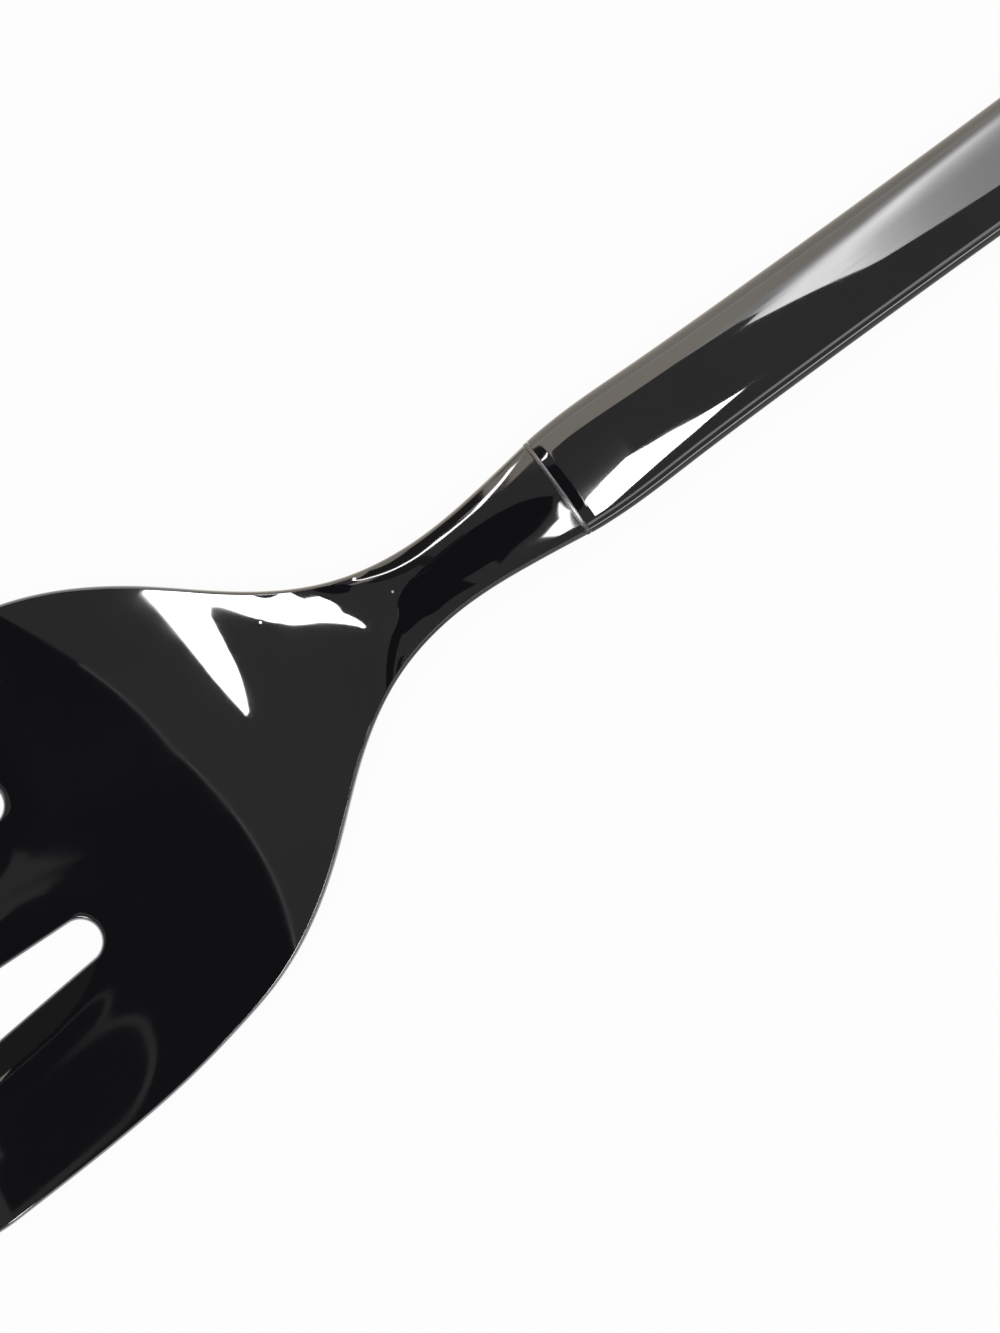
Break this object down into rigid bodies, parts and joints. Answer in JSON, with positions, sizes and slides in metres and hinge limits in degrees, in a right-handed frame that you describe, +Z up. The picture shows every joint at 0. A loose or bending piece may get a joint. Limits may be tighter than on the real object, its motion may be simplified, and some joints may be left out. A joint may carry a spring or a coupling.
{
  "type": "serving fork",
  "caption": "Hollow-handled serving fork in dark mirror-polished steel: broad dished head with round-rooted tines, slim neck and a bead ring at the joint.",
  "frame": {"origin": "on the table under the middle of the fork's length and width", "axes": "+X along the fork from the tines to the handle, +Y to its side, +Z up out of the dished face"},
  "size_m": [0.245, 0.0552, 0.0146],
  "materials": {
    "fork_head": "dark mirror polish",
    "bolster_ring": "dark mirror polish",
    "handle_upper_shell": "dark mirror polish",
    "handle_lower_shell": "dark mirror polish",
    "handle_filler": "set filler, hidden"
  },
  "bodies": {
    "root": {"fork_head": "fork_head", "bolster_ring": "bolster_ring", "handle_upper_shell": "handle_upper_shell", "handle_lower_shell": "handle_lower_shell", "handle_filler": "handle_filler"}
  },
  "joints": []
}
